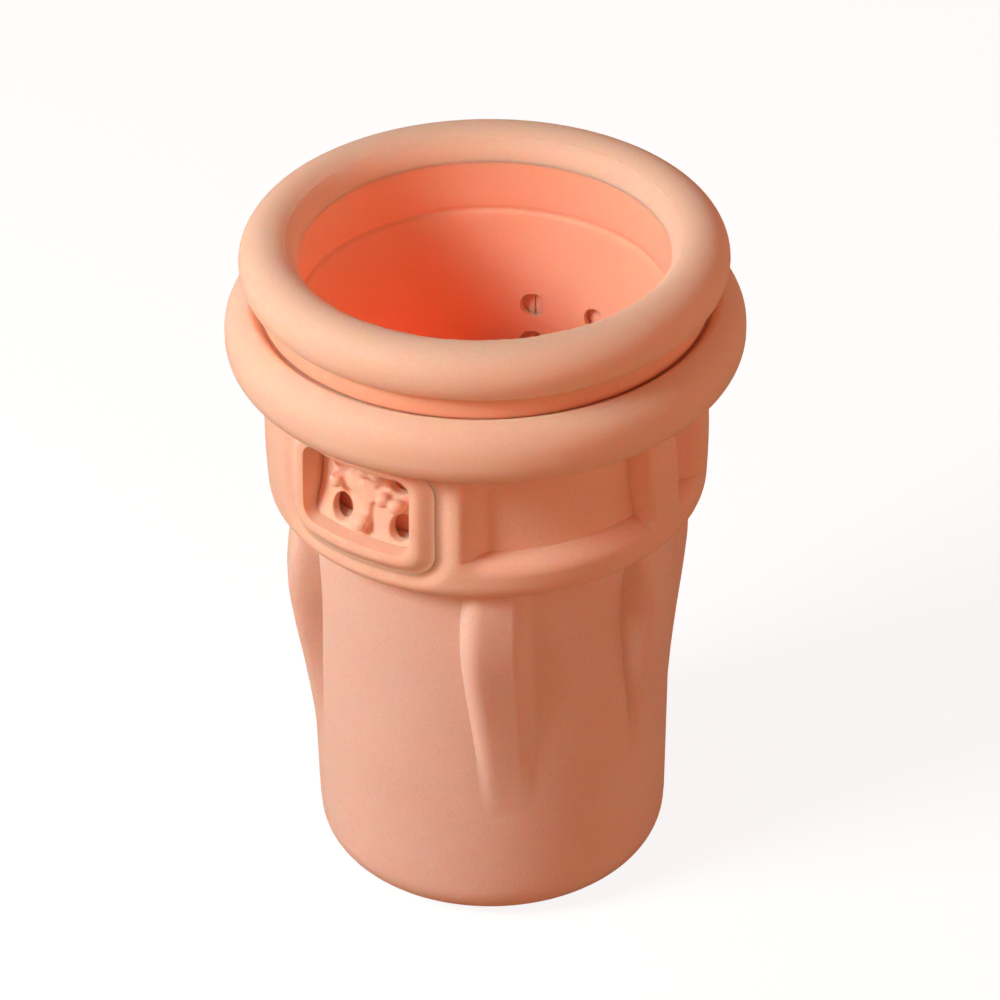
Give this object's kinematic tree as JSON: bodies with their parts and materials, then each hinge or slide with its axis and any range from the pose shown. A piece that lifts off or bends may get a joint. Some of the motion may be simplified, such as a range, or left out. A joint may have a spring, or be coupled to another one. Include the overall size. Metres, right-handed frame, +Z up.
{
  "type": "paw washer cup",
  "caption": "Soft round wash cup with rolled rims, a windowed collar over tapered fins, and a brush-lined sleeve that lifts out.",
  "frame": {"origin": "middle of the flat foot that the cup stands on", "axes": "+Z up along the cup's axis to the mouth, -Y towards the front port, +X to its right as seen from the front"},
  "size_m": [0.098, 0.098, 0.1361],
  "materials": {
    "shell_silicone": "matte",
    "collar_silicone": "matte",
    "rim_silicone": "matte",
    "liner_silicone": "matte"
  },
  "bodies": {
    "cup": {"outer_cup": "shell_silicone", "window_collar": "collar_silicone", "lower_rim_ring": "rim_silicone", "port_frame_front": "collar_silicone", "port_frame_rear": "collar_silicone", "port_plate_front": "shell_silicone", "port_plate_rear": "shell_silicone"},
    "liner": {"brush_liner": "liner_silicone", "scrub_bristles": "liner_silicone", "upper_rim_ring": "rim_silicone"}
  },
  "joints": [
    {"name": "liner_lift", "type": "slide", "parent": "cup", "child": "liner", "axis": [0, 0, 1], "range_m": [0, 0.115]}
  ]
}
